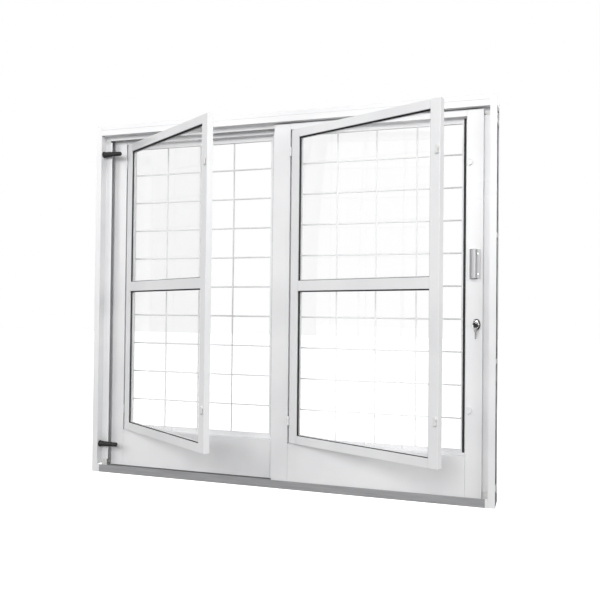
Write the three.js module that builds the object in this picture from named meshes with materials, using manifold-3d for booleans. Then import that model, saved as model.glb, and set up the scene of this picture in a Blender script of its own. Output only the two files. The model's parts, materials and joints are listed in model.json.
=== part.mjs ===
// Two-track aluminium window. The rear panel is fixed and the front panel slides. Each panel
// has a welded rod grille and a glazed casement leaf, hinged on the panel's left stile.
// Millimetres. +X right, +Y from the leaf side into the wall, +Z up.
// The origin is the middle of the sill's underside.

import * as THREE from 'three';
import { mergeVertices } from 'three/addons/utils/BufferGeometryUtils.js';
import Module from 'manifold-3d';

// ---------------------------------------------------------------- driving dimensions

const FRAME_WIDTH = 1356;
const FRAME_HEIGHT = 1200;
const FRAME_DEPTH = 92;
const FRAME_WALL = 2.5;
const JAMB_FACE = 20;
const HEADER_FACE = 32;
const HEADER_LINE = 0.57;
const SILL_FACE = 25;
const SILL_REAR_HEIGHT = 38;
const TRACK_TOP = 18;
const GUIDE_DROP = 13;
const FIN_REACH = 24;
const FIN_MARGIN = 40;
const FIN_THICKNESS = 2.4;
const GAP = 0.3;

const PANEL_DEPTH = 30;
const PANEL_WALL = 2.2;
const PANEL_BOTTOM = 17;
const PANEL_TOP = 1163;
const PANEL_EDGE = 639;
const JAMB_STILE = 48;
const MEETING_STILE = 55;
const OPENING_WIDTH = 554;
const OPENING_BOTTOM = 141.5;
const OPENING_TOP = 1144.5;
const LIP_REACH = 16;
const LIP_DEPTH = 7.5;
const FRONT_SETBACK = 15;
const REAR_SETBACK = 56;
const GROOVE_DEPTH = 6.5;
const GROOVE_HALF = 4;
const TOP_GROOVE = 10;

const LEAF_THICKNESS = 20;
const LEAF_STILE = 31;
const LEAF_RAIL = 26;
const LEAF_MID_RAIL = 32;
const LEAF_WALL = 1.8;
const HINGE_GAP = 4;
const EDGE_GAP = 2;
const RIGHT_LEAF_OPEN = 24;
const LEFT_LEAF_OPEN = 33.5;

const GLASS_THICKNESS = 4;
const GASKET_WIDTH = 4;
const SEAL_WIDTH = 7;
const SEAL_INSETS = { fixed: 1.5, sliding: 4 };
const SEAL_END_GAP = 2;
const SEAL_THICKNESS = 1.9;

const ROD_RADIUS = 2.4;
const ROD_PITCH_X = 126;
const ROD_PITCH_Z = 98.6;
const ROD_COLUMNS = 3;
const ROD_ROWS = 9;

const HINGE_HEIGHT = 29;
const HINGE_INSET = 71;
const KNUCKLE_RADIUS = 4;
const PIN_RADIUS = 1.7;
const PIN_BORE = 2;
const WING_THICKNESS = 1.3;
const WING_DEPTH = 18;

const CATCH_INSET = 133.5;
const CATCH_FROM_EDGE = 9;
const CATCH_ARM = 19;
const CATCH_TAIL = 6;
const CATCH_WIDTH = 9;
const CATCH_THICKNESS = 3;
const KEEPER_THICKNESS = 2;
const KEEPER_RIM = 3;
const KEEPER_RIM_WALL = 2;
const KEEPER_RIM_START = 7;
const KEEPER_SIZE = 18;
const KEEPER_HEIGHT = 22;
const KEEPER_OFFSET = 4;

const ROLLER_RADIUS = 12;
const ROLLER_WIDTH = 6;
const ROLLER_SLOT = 10;
const ROLLER_SLOT_HEIGHT = 33;
const ROLLER_INSETS = [118, 538];

const BUMPER_LENGTH = 69;
const BUMPER_BASE_RADIUS = 9.5;
const BUMPER_TIP_RADIUS = 7;
const BUMPER_HEIGHTS = { upper: 1104.5, lower: 94.5 };

const HANDLE_LEFT = 601;
const HANDLE_WIDTH = 31;
const HANDLE_BOTTOM = 664;
const HANDLE_HEIGHT = 86;
const HANDLE_PLATE = 2.5;
const HANDLE_LIP_WIDTH = 19;
const HANDLE_LIP_PROUD = 24;

const LOCK_X = 622;
const LOCK_Z = 537;
const CYLINDER_RADIUS = 8.5;
const CYLINDER_LEG_HALF = 5;
const CYLINDER_DROP = 24.5;
const CYLINDER_PROUD = 3;
const CYLINDER_REACH = 11.7;
const PLUG_RADIUS = 5;
const PLUG_REACH = 18;
const BOLT_Z = 531;
const BOLT_HEIGHT = 12;
const BOLT_WIDTH = 6;
const BOLT_SETBACK = 24.5;

const KEY_TURNED = 38;
const KEY_HALF = 1.2;
const KEY_HOLE_SETBACK = 26;
const KEY_HOLE_RADIUS = 3.5;
const KEY_BOW_WIDTH = 20;
const KEY_BOW_HEIGHT = 20;
const KEY_RING_RADIUS = 9;
const KEY_RING_WIRE = 0.8;
const SPARE_BLADE_BOTTOM = 488;

// ---------------------------------------------------------------- places worked out from them

const FRONT_Y = -FRAME_DEPTH / 2;
const BACK_Y = FRAME_DEPTH / 2;
const HALF_WIDTH = FRAME_WIDTH / 2;
const JAMB_INNER = HALF_WIDTH - JAMB_FACE;
const HEADER_BOTTOM = FRAME_HEIGHT - HEADER_FACE;
const FRONT_FACE_Y = FRONT_Y + FRONT_SETBACK;
const REAR_FACE_Y = FRONT_Y + REAR_SETBACK;
const REBATE_DEPTH = PANEL_DEPTH - LIP_DEPTH;
const HALF_PANEL_DEPTH = PANEL_DEPTH / 2;
const TRACK_YS = [FRONT_FACE_Y + HALF_PANEL_DEPTH, REAR_FACE_Y + HALF_PANEL_DEPTH];
const SLIDING_OPENING_X = PANEL_EDGE - JAMB_STILE - OPENING_WIDTH;
const FIXED_OPENING_X = JAMB_STILE - PANEL_EDGE;
const LEAF_BOTTOM = OPENING_BOTTOM + EDGE_GAP;
const LEAF_TOP = OPENING_TOP - EDGE_GAP;
const LEAF_WIDTH = OPENING_WIDTH - HINGE_GAP - EDGE_GAP;
const LEAF_LEFT = HINGE_GAP / 2;
const LEAF_RIGHT = LEAF_LEFT + LEAF_WIDTH;
const LEAF_FACE = KNUCKLE_RADIUS;
const LEAF_MID_Z = (LEAF_BOTTOM + LEAF_TOP) / 2;

// ---------------------------------------------------------------- materials

const finish = (color, roughness, metalness, extra = {}) =>
  new THREE.MeshStandardMaterial({ color, roughness, metalness, ...extra });
const WHITE = finish(0xe6e6e8, 0.35, 0);
const SILL_WHITE = finish(0xd6d6d9, 0.4, 0);
const BLACK_RUBBER = finish(0x141414, 0.8, 0);
const GLASS = finish(0xeef4f4, 0.02, 0, { transparent: true, opacity: 0.25 });
const SATIN = finish(0xb4b4b6, 0.35, 0.9);
const CHROME = finish(0xc8c8ca, 0.15, 1);
const NYLON = finish(0xdddddb, 0.5, 0);

// ---------------------------------------------------------------- solids and booleans

const wasm = await Module();
wasm.setup();

function toSolid(geometry) {
  const bare = geometry.index ? geometry.toNonIndexed() : geometry.clone();
  bare.deleteAttribute('normal');
  bare.deleteAttribute('uv');
  const merged = mergeVertices(bare, 1e-4);
  const vertProperties = merged.attributes.position.array;
  const triVerts = Uint32Array.from(merged.index.array);
  return new wasm.Manifold(new wasm.Mesh({ numProp: 3, vertProperties, triVerts }));
}

function toGeometry(solid) {
  const mesh = solid.getMesh();
  const geometry = new THREE.BufferGeometry();
  geometry.setAttribute('position', new THREE.BufferAttribute(mesh.vertProperties, 3));
  geometry.setIndex(new THREE.BufferAttribute(mesh.triVerts, 1));
  geometry.computeVertexNormals();
  return geometry;
}

function join(...geometries) {
  return toGeometry(geometries.map(toSolid).reduce((whole, piece) => whole.add(piece)));
}

function cut(geometry, ...tools) {
  return toGeometry(tools.map(toSolid).reduce((rest, tool) => rest.subtract(tool), toSolid(geometry)));
}

// ---------------------------------------------------------------- shape helpers

function box(x0, x1, y0, y1, z0, z1) {
  const geometry = new THREE.BoxGeometry(x1 - x0, y1 - y0, z1 - z0);
  return geometry.translate((x0 + x1) / 2, (y0 + y1) / 2, (z0 + z1) / 2);
}

const toPoints = (pairs) => pairs.map(([a, b]) => new THREE.Vector2(a, b));
const rectangle = (a0, a1, b0, b1) => [[a0, b0], [a1, b0], [a1, b1], [a0, b1]];

function outline(pairs, holes = []) {
  const shape = new THREE.Shape(toPoints(pairs));
  shape.holes = holes.map((hole) => new THREE.Path(toPoints(hole)));
  return shape;
}

const extrude = (shape, depth, curveSegments = 8) =>
  new THREE.ExtrudeGeometry(shape, { depth, bevelEnabled: false, curveSegments });

// A section drawn in (x, y), run from z0 to z1.
const alongZ = (shape, z0, z1, segments) => extrude(shape, z1 - z0, segments).translate(0, 0, z0);

// A section drawn in (y, z), run from x0 to x1.
function alongX(shape, x0, x1, segments) {
  const turn = new THREE.Matrix4().makeBasis(
    new THREE.Vector3(0, 1, 0), new THREE.Vector3(0, 0, 1), new THREE.Vector3(1, 0, 0));
  return extrude(shape, x1 - x0, segments).applyMatrix4(turn).translate(x0, 0, 0);
}

// An outline drawn in (x, z), run from y0 to y1.
function alongY(shape, y0, y1, segments) {
  const turn = new THREE.Matrix4().makeBasis(
    new THREE.Vector3(1, 0, 0), new THREE.Vector3(0, 0, 1), new THREE.Vector3(0, -1, 0));
  return extrude(shape, y1 - y0, segments).applyMatrix4(turn).translate(0, y1, 0);
}

const postZ = (radius, x, y, z0, z1, sides = 16) =>
  new THREE.CylinderGeometry(radius, radius, z1 - z0, sides)
    .rotateX(Math.PI / 2).translate(x, y, (z0 + z1) / 2);

const rodX = (radius, x0, x1, y, z, sides = 8) =>
  new THREE.CylinderGeometry(radius, radius, x1 - x0, sides)
    .rotateZ(Math.PI / 2).translate((x0 + x1) / 2, y, z);

const rodY = (radius, y0, y1, x, z, sides = 20) =>
  new THREE.CylinderGeometry(radius, radius, y1 - y0, sides).translate(x, (y0 + y1) / 2, z);

const window_ = new THREE.Group();

function addMesh(name, geometry, material, parent = window_) {
  const mesh = new THREE.Mesh(geometry, material);
  mesh.name = name;
  parent.add(mesh);
  return mesh;
}

// ---------------------------------------------------------------- outer frame

// A channel open to the wall, with a fin for each track. Its front flange runs past the
// sill and the header.
function jamb(side) {
  const at = (inward) => side * (HALF_WIDTH - inward);
  const w = FRAME_WALL;
  const channel = outline([
    [at(0), FRONT_Y], [at(JAMB_FACE), FRONT_Y], [at(JAMB_FACE), BACK_Y], [at(0), BACK_Y],
    [at(0), BACK_Y - w], [at(JAMB_FACE - w), BACK_Y - w],
    [at(JAMB_FACE - w), FRONT_Y + w], [at(0), FRONT_Y + w],
  ]);
  const sides = (from, to) => [Math.min(at(from), at(to)), Math.max(at(from), at(to))];
  const fins = TRACK_YS.map((y) => box(
    ...sides(JAMB_FACE - 1, JAMB_FACE + FIN_REACH),
    y - FIN_THICKNESS / 2, y + FIN_THICKNESS / 2,
    FIN_MARGIN, HEADER_BOTTOM - FIN_MARGIN / 2));
  const flangeEnds = [[0, SILL_FACE + 1], [HEADER_BOTTOM - 1, FRAME_HEIGHT]].map(
    ([z0, z1]) => box(...sides(0, JAMB_FACE), FRONT_Y, FRONT_Y + w, z0, z1));
  return join(alongZ(channel, SILL_FACE + GAP, HEADER_BOTTOM - GAP), ...flangeEnds, ...fins);
}

// A channel open to the lintel, with a guide for each track. Its front leg stands between the
// jamb flanges and has a shallow line along its face.
function header() {
  const w = FRAME_WALL;
  const inner = JAMB_INNER - GAP;
  const webTop = HEADER_BOTTOM + w;
  const lineZ = HEADER_BOTTOM + HEADER_FACE * HEADER_LINE;
  const webAndRear = outline([
    [FRONT_Y + w + GAP, HEADER_BOTTOM], [BACK_Y, HEADER_BOTTOM], [BACK_Y, FRAME_HEIGHT],
    [BACK_Y - w, FRAME_HEIGHT], [BACK_Y - w, webTop], [FRONT_Y + w + GAP, webTop],
  ]);
  const front = outline([
    [FRONT_Y, HEADER_BOTTOM], [FRONT_Y + w + 1, HEADER_BOTTOM], [FRONT_Y + w + 1, webTop],
    [FRONT_Y + w, webTop], [FRONT_Y + w, FRAME_HEIGHT], [FRONT_Y, FRAME_HEIGHT],
    [FRONT_Y, lineZ + 1], [FRONT_Y + 0.9, lineZ], [FRONT_Y, lineZ - 1],
  ]);
  const guides = TRACK_YS.map((y) => box(
    -inner, inner, y - FIN_THICKNESS / 2, y + FIN_THICKNESS / 2,
    HEADER_BOTTOM - GUIDE_DROP, HEADER_BOTTOM + 1));
  return join(
    alongX(webAndRear, -HALF_WIDTH, HALF_WIDTH), alongX(front, -inner, inner), ...guides);
}

// A floor with a front upstand, a taller rear upstand and a rail for each track.
function sill() {
  const w = FRAME_WALL;
  const inner = JAMB_INNER - GAP;
  const floor = box(-HALF_WIDTH, HALF_WIDTH, FRONT_Y + w + GAP, BACK_Y, 0, w);
  const rear = box(-HALF_WIDTH, HALF_WIDTH, BACK_Y - w, BACK_Y, 0, SILL_FACE);
  const rearTop = box(-inner, inner, BACK_Y - w, BACK_Y, 1, SILL_REAR_HEIGHT);
  const front = box(-inner, inner, FRONT_Y, FRONT_Y + w, 0, SILL_FACE);
  const frontToe = box(-inner, inner, FRONT_Y, FRONT_Y + w + 1, 0, w);
  const rails = TRACK_YS.map((y) => box(
    -inner, inner, y - FIN_THICKNESS / 2, y + FIN_THICKNESS / 2, 1, TRACK_TOP));
  return join(floor, rear, rearTop, frontToe, front, ...rails);
}

function bumper(z) {
  const foot = 3;
  const y = FRONT_FACE_Y;
  const profile = toPoints([
    [0, 0], [BUMPER_BASE_RADIUS + 1.5, 0], [BUMPER_BASE_RADIUS + 1.5, foot],
    [BUMPER_BASE_RADIUS, foot], [BUMPER_TIP_RADIUS, BUMPER_LENGTH - 3],
    [BUMPER_TIP_RADIUS - 2, BUMPER_LENGTH - 0.6], [0, BUMPER_LENGTH],
  ]);
  return new THREE.LatheGeometry(profile, 20).rotateZ(-Math.PI / 2)
    .translate(-JAMB_INNER + GAP, y, z);
}

// A block that stands off the right jamb, with a slot for the bolt.
function lockStrike() {
  const y = FRONT_FACE_Y + BOLT_SETBACK;
  const body = box(PANEL_EDGE + 4, JAMB_INNER - GAP, y - 7, y + 7, BOLT_Z - 23, BOLT_Z + 23);
  const slot = box(PANEL_EDGE, JAMB_INNER, y - 4, y + 4, BOLT_Z - 7.5, BOLT_Z + 7.5);
  return cut(body, slot);
}

// ---------------------------------------------------------------- panels

// An upright tube from x0 to x1. lipSide is +1 or -1 for the side that faces the leaf.
// A jamb stile has a groove for the jamb's fin in its other side.
function stile(x0, x1, faceY, lipSide, grooved) {
  const w = PANEL_WALL;
  const backY = faceY + PANEL_DEPTH;
  const midY = faceY + HALF_PANEL_DEPTH;
  const inner = lipSide > 0 ? x1 : x0;
  const outer = lipSide > 0 ? x0 : x1;
  const grooveFloor = outer + lipSide * GROOVE_DEPTH;
  const edge = grooved ? [
    [outer, backY], [outer, midY + GROOVE_HALF], [grooveFloor, midY + GROOVE_HALF],
    [grooveFloor, midY - GROOVE_HALF], [outer, midY - GROOVE_HALF], [outer, faceY],
  ] : [[outer, backY], [outer, faceY]];
  const cavityOuter = grooved ? grooveFloor + lipSide * 1.7 : outer + lipSide * w;
  const cavity = rectangle(
    Math.min(cavityOuter, inner - lipSide * w), Math.max(cavityOuter, inner - lipSide * w),
    faceY + w, backY - w);
  const tube = alongZ(
    outline([[inner, faceY], [inner, backY], ...edge], [cavity]), PANEL_BOTTOM, PANEL_TOP);
  const lipFrom = inner - lipSide;
  const lipTo = inner + lipSide * LIP_REACH;
  const lip = box(
    Math.min(lipFrom, lipTo), Math.max(lipFrom, lipTo), faceY + REBATE_DEPTH, backY,
    OPENING_BOTTOM + LIP_REACH + GAP, OPENING_TOP - LIP_REACH - GAP);
  const notches = [[PANEL_BOTTOM - 1, TRACK_TOP + 3], [PANEL_TOP - TOP_GROOVE, PANEL_TOP + 1]].map(
    ([z0, z1]) => box(x0 - 1, x1 + 1, midY - GROOVE_HALF, midY + GROOVE_HALF, z0, z1));
  return cut(join(tube, lip), ...notches);
}

function panelTopRail(x0, faceY) {
  const backY = faceY + PANEL_DEPTH;
  const midY = faceY + HALF_PANEL_DEPTH;
  const grooveZ = PANEL_TOP - TOP_GROOVE;
  const section = outline([
    [faceY, OPENING_TOP], [faceY + REBATE_DEPTH, OPENING_TOP],
    [faceY + REBATE_DEPTH, OPENING_TOP - LIP_REACH], [backY, OPENING_TOP - LIP_REACH],
    [backY, PANEL_TOP], [midY + GROOVE_HALF, PANEL_TOP], [midY + GROOVE_HALF, grooveZ],
    [midY - GROOVE_HALF, grooveZ], [midY - GROOVE_HALF, PANEL_TOP], [faceY, PANEL_TOP],
  ]);
  return alongX(section, x0 + GAP, x0 + OPENING_WIDTH - GAP);
}

// A tall tube with a leaf rebate on top and a slot below for the rollers and the rail.
function panelBottomRail(x0, faceY) {
  const w = PANEL_WALL;
  const backY = faceY + PANEL_DEPTH;
  const slot0 = faceY + (PANEL_DEPTH - ROLLER_SLOT) / 2;
  const slot1 = slot0 + ROLLER_SLOT;
  const slotTop = PANEL_BOTTOM + ROLLER_SLOT_HEIGHT;
  const cavities = [
    rectangle(faceY + w, slot0 - w, PANEL_BOTTOM + w, slotTop),
    rectangle(slot1 + w, backY - w, PANEL_BOTTOM + w, slotTop),
    rectangle(faceY + w, backY - w, slotTop + w, OPENING_BOTTOM - w),
  ];
  const section = outline([
    [faceY, PANEL_BOTTOM], [slot0, PANEL_BOTTOM], [slot0, slotTop], [slot1, slotTop],
    [slot1, PANEL_BOTTOM], [backY, PANEL_BOTTOM], [backY, OPENING_BOTTOM + LIP_REACH],
    [faceY + REBATE_DEPTH, OPENING_BOTTOM + LIP_REACH], [faceY + REBATE_DEPTH, OPENING_BOTTOM],
    [faceY, OPENING_BOTTOM],
  ], cavities);
  return alongX(section, x0 + GAP, x0 + OPENING_WIDTH - GAP);
}

// Upright rods in front, level rods behind, welded where they cross.
function grille(x0, faceY) {
  const uprightY = faceY + REBATE_DEPTH + ROD_RADIUS + 0.1;
  const levelY = faceY + PANEL_DEPTH - ROD_RADIUS - 0.1;
  const midX = x0 + OPENING_WIDTH / 2;
  const midZ = (OPENING_BOTTOM + OPENING_TOP) / 2;
  const inset = LIP_REACH + GAP;
  const rods = [];
  for (let i = 0; i < ROD_COLUMNS; i += 1) {
    const x = midX + (i - (ROD_COLUMNS - 1) / 2) * ROD_PITCH_X;
    rods.push(postZ(ROD_RADIUS, x, uprightY, OPENING_BOTTOM + inset, OPENING_TOP - inset, 8));
  }
  for (let i = 0; i < ROD_ROWS; i += 1) {
    const z = midZ + (i - (ROD_ROWS - 1) / 2) * ROD_PITCH_Z;
    rods.push(rodX(ROD_RADIUS, x0 + inset, x0 + OPENING_WIDTH - inset, levelY, z));
  }
  return join(...rods);
}

// A strip on the rebate's lip, which the closed leaf's free stile presses against.
function leafSeal(prefix, x0, faceY) {
  const right = x0 + OPENING_WIDTH - SEAL_INSETS[prefix];
  const backY = faceY + REBATE_DEPTH - GAP;
  return box(right - SEAL_WIDTH, right, backY - SEAL_THICKNESS, backY,
    OPENING_BOTTOM + SEAL_END_GAP, OPENING_TOP - SEAL_END_GAP);
}

// Half a disc under the catch's arm, with a rim round its curved edge that stops the arm.
function keeper(x0, faceY, z) {
  const halfDisc = (inset) => {
    const half = KEEPER_HEIGHT / 2 - inset;
    const reach = x0 + KEEPER_SIZE - 4 * inset / 3;
    const shape = new THREE.Shape();
    shape.moveTo(x0, z - half);
    shape.bezierCurveTo(reach, z - half, reach, z + half, x0, z + half);
    return shape;
  };
  const backY = faceY - GAP;
  const plate = alongY(halfDisc(0), backY - KEEPER_THICKNESS, backY, 16);
  const rimFront = backY - KEEPER_THICKNESS - KEEPER_RIM;
  const rim = cut(
    alongY(halfDisc(0), rimFront, backY - 1, 16),
    alongY(halfDisc(KEEPER_RIM_WALL), rimFront - 1, backY, 16),
    box(x0 - 1, x0 + KEEPER_RIM_START, rimFront - 1, backY, z - KEEPER_HEIGHT, z + KEEPER_HEIGHT));
  return join(plate, rim);
}

function addPanel(prefix, openingX, faceY, stiles) {
  const [left, right] = stiles;
  const rightX = openingX + OPENING_WIDTH;
  const leftWidth = left === 'jamb' ? JAMB_STILE : MEETING_STILE;
  const rightWidth = right === 'jamb' ? JAMB_STILE : MEETING_STILE;
  const upright = {
    left: stile(openingX - leftWidth, openingX, faceY, 1, left === 'jamb'),
    right: stile(rightX, rightX + rightWidth, faceY, -1, right === 'jamb'),
  };
  if (prefix === 'sliding') {
    upright.right = cut(upright.right, ...lockCuts());
  }
  addMesh(`${prefix}_${left}_stile`, upright.left, WHITE);
  addMesh(`${prefix}_${right}_stile`, upright.right, WHITE);
  addMesh(`${prefix}_top_rail`, panelTopRail(openingX, faceY), WHITE);
  addMesh(`${prefix}_bottom_rail`, panelBottomRail(openingX, faceY), WHITE);
  addMesh(`${prefix}_grille`, grille(openingX, faceY), WHITE);
  addMesh(`${prefix}_leaf_seal`, leafSeal(prefix, openingX, faceY), BLACK_RUBBER);
  for (const [level, z] of Object.entries(catchHeights())) {
    addMesh(`${prefix}_${level}_keeper`, keeper(rightX + KEEPER_OFFSET, faceY, z), WHITE);
  }
}

// ---------------------------------------------------------------- hinges and catches

const hingeHeights = () => ({ upper: LEAF_TOP - HINGE_INSET, lower: LEAF_BOTTOM + HINGE_INSET });
const catchHeights = () => ({ upper: LEAF_TOP - CATCH_INSET, lower: LEAF_BOTTOM + CATCH_INSET });

// Both halves are drawn round the hinge axis. half is 'panel' (lower knuckle and pin)
// or 'leaf' (upper knuckle, bored for the pin).
function hingeHalf(half, midZ) {
  const z0 = midZ - HINGE_HEIGHT / 2;
  const z1 = midZ + HINGE_HEIGHT / 2;
  const side = half === 'panel' ? -1 : 1;
  const [k0, k1] = half === 'panel' ? [z0, midZ - GAP / 2] : [midZ + GAP / 2, z1];
  const clearY = KNUCKLE_RADIUS + 0.6;
  const inner = side * 0.4;
  const outer = side * (0.4 + WING_THICKNESS);
  const [x0, x1] = [Math.min(inner, outer), Math.max(inner, outer)];
  const wing = box(x0, x1, clearY, clearY + WING_DEPTH - 0.6, z0, z1);
  const neck = box(x0, x1, 0, clearY + 1, k0, k1);
  const knuckle = postZ(KNUCKLE_RADIUS, 0, 0, k0, k1);
  const body = join(wing, neck, knuckle);
  if (half === 'panel') {
    return join(body, postZ(PIN_RADIUS, 0, 0, z0 + 1, z1 - 0.5, 12));
  }
  return cut(body, postZ(PIN_BORE, 0, 0, z0, z1 + 1, 12));
}

// A turn catch on the leaf's free stile: its arm hangs when open and lies level over the
// keeper when it holds the leaf.
function catchPiece() {
  const half = CATCH_WIDTH / 2;
  const shape = new THREE.Shape();
  shape.moveTo(half, -CATCH_ARM + half);
  shape.lineTo(half, CATCH_TAIL - half);
  shape.absarc(0, CATCH_TAIL - half, half, 0, Math.PI, false);
  shape.lineTo(-half, -CATCH_ARM + half);
  shape.absarc(0, -CATCH_ARM + half, half, Math.PI, 2 * Math.PI, false);
  const tongueBack = -KEEPER_THICKNESS - 0.8;
  const tongue = alongY(shape, tongueBack - CATCH_THICKNESS, tongueBack, 6);
  const boss = rodY(5.5, tongueBack - 1, -GAP, 0, 0);
  return join(tongue, boss);
}

// ---------------------------------------------------------------- glazed leaves

function tubeZ(x0, x1, z0, z1) {
  const [y0, y1] = [LEAF_FACE, LEAF_FACE + LEAF_THICKNESS];
  const w = LEAF_WALL;
  return alongZ(
    outline(rectangle(x0, x1, y0, y1), [rectangle(x0 + w, x1 - w, y0 + w, y1 - w)]), z0, z1);
}

function tubeX(x0, x1, z0, z1) {
  const [y0, y1] = [LEAF_FACE, LEAF_FACE + LEAF_THICKNESS];
  const w = LEAF_WALL;
  return alongX(
    outline(rectangle(y0, y1, z0, z1), [rectangle(y0 + w, y1 - w, z0 + w, z1 - w)]), x0, x1);
}

function addPane(prefix, level, x0, x1, z0, z1, parent) {
  const midY = LEAF_FACE + LEAF_THICKNESS / 2;
  const half = GLASS_THICKNESS / 2;
  const inset = 1.5;
  const ring = alongY(outline(
    rectangle(x0 + GAP, x1 - GAP, z0 + GAP, z1 - GAP),
    [rectangle(x0 + GASKET_WIDTH, x1 - GASKET_WIDTH, z0 + GASKET_WIDTH, z1 - GASKET_WIDTH)],
  ), LEAF_FACE + 0.6, LEAF_FACE + LEAF_THICKNESS - 2);
  const slot = box(
    x0 + inset - GAP, x1 - inset + GAP, midY - half - GAP, midY + half + GAP,
    z0 + inset - GAP, z1 - inset + GAP);
  const glass = box(
    x0 + inset, x1 - inset, midY - half, midY + half, z0 + inset, z1 - inset);
  addMesh(`${prefix}_${level}_gasket`, cut(ring, slot), BLACK_RUBBER, parent);
  addMesh(`${prefix}_${level}_glass`, glass, GLASS, parent);
}

// The leaf is drawn closed round its hinge axis, then its group is turned open.
function addLeaf(prefix, openingX, faceY, openDegrees, panelPrefix) {
  const leaf = new THREE.Group();
  leaf.position.set(openingX + HINGE_GAP / 2, faceY - KNUCKLE_RADIUS, 0);
  leaf.rotation.z = -THREE.MathUtils.degToRad(openDegrees);
  window_.add(leaf);
  const [x0, x1] = [LEAF_LEFT + LEAF_STILE, LEAF_RIGHT - LEAF_STILE];
  const railEnds = [x0 + GAP, x1 - GAP];
  const midLow = LEAF_MID_Z - LEAF_MID_RAIL / 2;
  const midHigh = LEAF_MID_Z + LEAF_MID_RAIL / 2;
  addMesh(`${prefix}_hinge_stile`, tubeZ(LEAF_LEFT, x0, LEAF_BOTTOM, LEAF_TOP), WHITE, leaf);
  addMesh(`${prefix}_free_stile`, tubeZ(x1, LEAF_RIGHT, LEAF_BOTTOM, LEAF_TOP), WHITE, leaf);
  addMesh(`${prefix}_top_rail`, tubeX(...railEnds, LEAF_TOP - LEAF_RAIL, LEAF_TOP), WHITE, leaf);
  addMesh(`${prefix}_mid_rail`, tubeX(...railEnds, midLow, midHigh), WHITE, leaf);
  addMesh(`${prefix}_bottom_rail`, tubeX(...railEnds, LEAF_BOTTOM, LEAF_BOTTOM + LEAF_RAIL),
    WHITE, leaf);
  addPane(prefix, 'upper', x0, x1, midHigh, LEAF_TOP - LEAF_RAIL, leaf);
  addPane(prefix, 'lower', x0, x1, LEAF_BOTTOM + LEAF_RAIL, midLow, leaf);
  for (const [level, z] of Object.entries(hingeHeights())) {
    const fixed = addMesh(`${panelPrefix}_${level}_hinge_pin`, hingeHalf('panel', z), WHITE);
    fixed.position.copy(leaf.position);
    addMesh(`${prefix}_${level}_hinge_knuckle`, hingeHalf('leaf', z), WHITE, leaf);
  }
  for (const [level, z] of Object.entries(catchHeights())) {
    const piece = addMesh(`${prefix}_${level}_catch`, catchPiece(), NYLON, leaf);
    piece.position.set(LEAF_RIGHT - CATCH_FROM_EDGE, LEAF_FACE, z);
  }
}

// ---------------------------------------------------------------- handle, lock and rollers

// A base plate whose left edge rises into a curved lip, closed at both ends.
function pullHandle() {
  const x0 = HANDLE_LEFT;
  const t = HANDLE_PLATE;
  const backY = FRONT_FACE_Y - GAP;
  const lipX = x0 + HANDLE_LIP_WIDTH;
  const lipY = backY - HANDLE_LIP_PROUD;
  const section = new THREE.Shape();
  section.moveTo(x0 + HANDLE_WIDTH, backY);
  section.lineTo(x0 + HANDLE_WIDTH, backY - t);
  section.lineTo(x0 + t + 1, backY - t);
  section.quadraticCurveTo(x0 + t + 1, lipY + t + 1, lipX, lipY + t);
  section.lineTo(lipX, lipY);
  section.quadraticCurveTo(x0, lipY, x0, backY - t);
  section.lineTo(x0, backY);
  const web = new THREE.Shape();
  web.moveTo(x0 + 1, backY - 1);
  web.lineTo(x0 + 1, backY - t);
  web.quadraticCurveTo(x0 + 1, lipY + 1, lipX - 1, lipY + 1);
  web.lineTo(lipX + 4, backY - 1);
  const top = HANDLE_BOTTOM + HANDLE_HEIGHT;
  return join(
    alongZ(section, HANDLE_BOTTOM, top, 6),
    alongZ(web, HANDLE_BOTTOM + 0.5, HANDLE_BOTTOM + 3, 6),
    alongZ(web, top - 3, top - 0.5, 6));
}

// The standard lock profile: a round top and a narrower leg with a round foot.
function cylinderOutline(grow = 0) {
  const r = CYLINDER_RADIUS + grow;
  const leg = CYLINDER_LEG_HALF + grow;
  const footZ = LOCK_Z - CYLINDER_DROP + CYLINDER_LEG_HALF;
  const start = -Math.asin(Math.sqrt(1 - (leg / r) ** 2));
  const shape = new THREE.Shape();
  shape.absarc(LOCK_X, LOCK_Z, r, start, Math.PI - start, false);
  shape.absarc(LOCK_X, footZ, leg, Math.PI, 2 * Math.PI, false);
  return shape;
}

function lockCylinder() {
  const body = alongY(
    cylinderOutline(), FRONT_FACE_Y - CYLINDER_PROUD, FRONT_FACE_Y + CYLINDER_REACH, 8);
  const bore = rodY(
    PLUG_RADIUS + GAP, FRONT_FACE_Y - CYLINDER_PROUD - 1, FRONT_FACE_Y + CYLINDER_REACH + 1,
    LOCK_X, LOCK_Z);
  return cut(body, bore);
}

function lockCuts() {
  const y = FRONT_FACE_Y + BOLT_SETBACK;
  const half = BOLT_WIDTH / 2 + GAP;
  const tall = BOLT_HEIGHT / 2 + GAP;
  return [
    alongY(cylinderOutline(GAP), FRONT_FACE_Y - 1, FRONT_FACE_Y + PANEL_WALL + 1, 8),
    box(LOCK_X, PANEL_EDGE + 1, y - half, y + half, BOLT_Z - tall, BOLT_Z + tall),
  ];
}

function lockBolt() {
  const y = FRONT_FACE_Y + BOLT_SETBACK;
  return box(
    LOCK_X - 18, PANEL_EDGE - 0.4, y - BOLT_WIDTH / 2, y + BOLT_WIDTH / 2,
    BOLT_Z - BOLT_HEIGHT / 2, BOLT_Z + BOLT_HEIGHT / 2);
}

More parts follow.
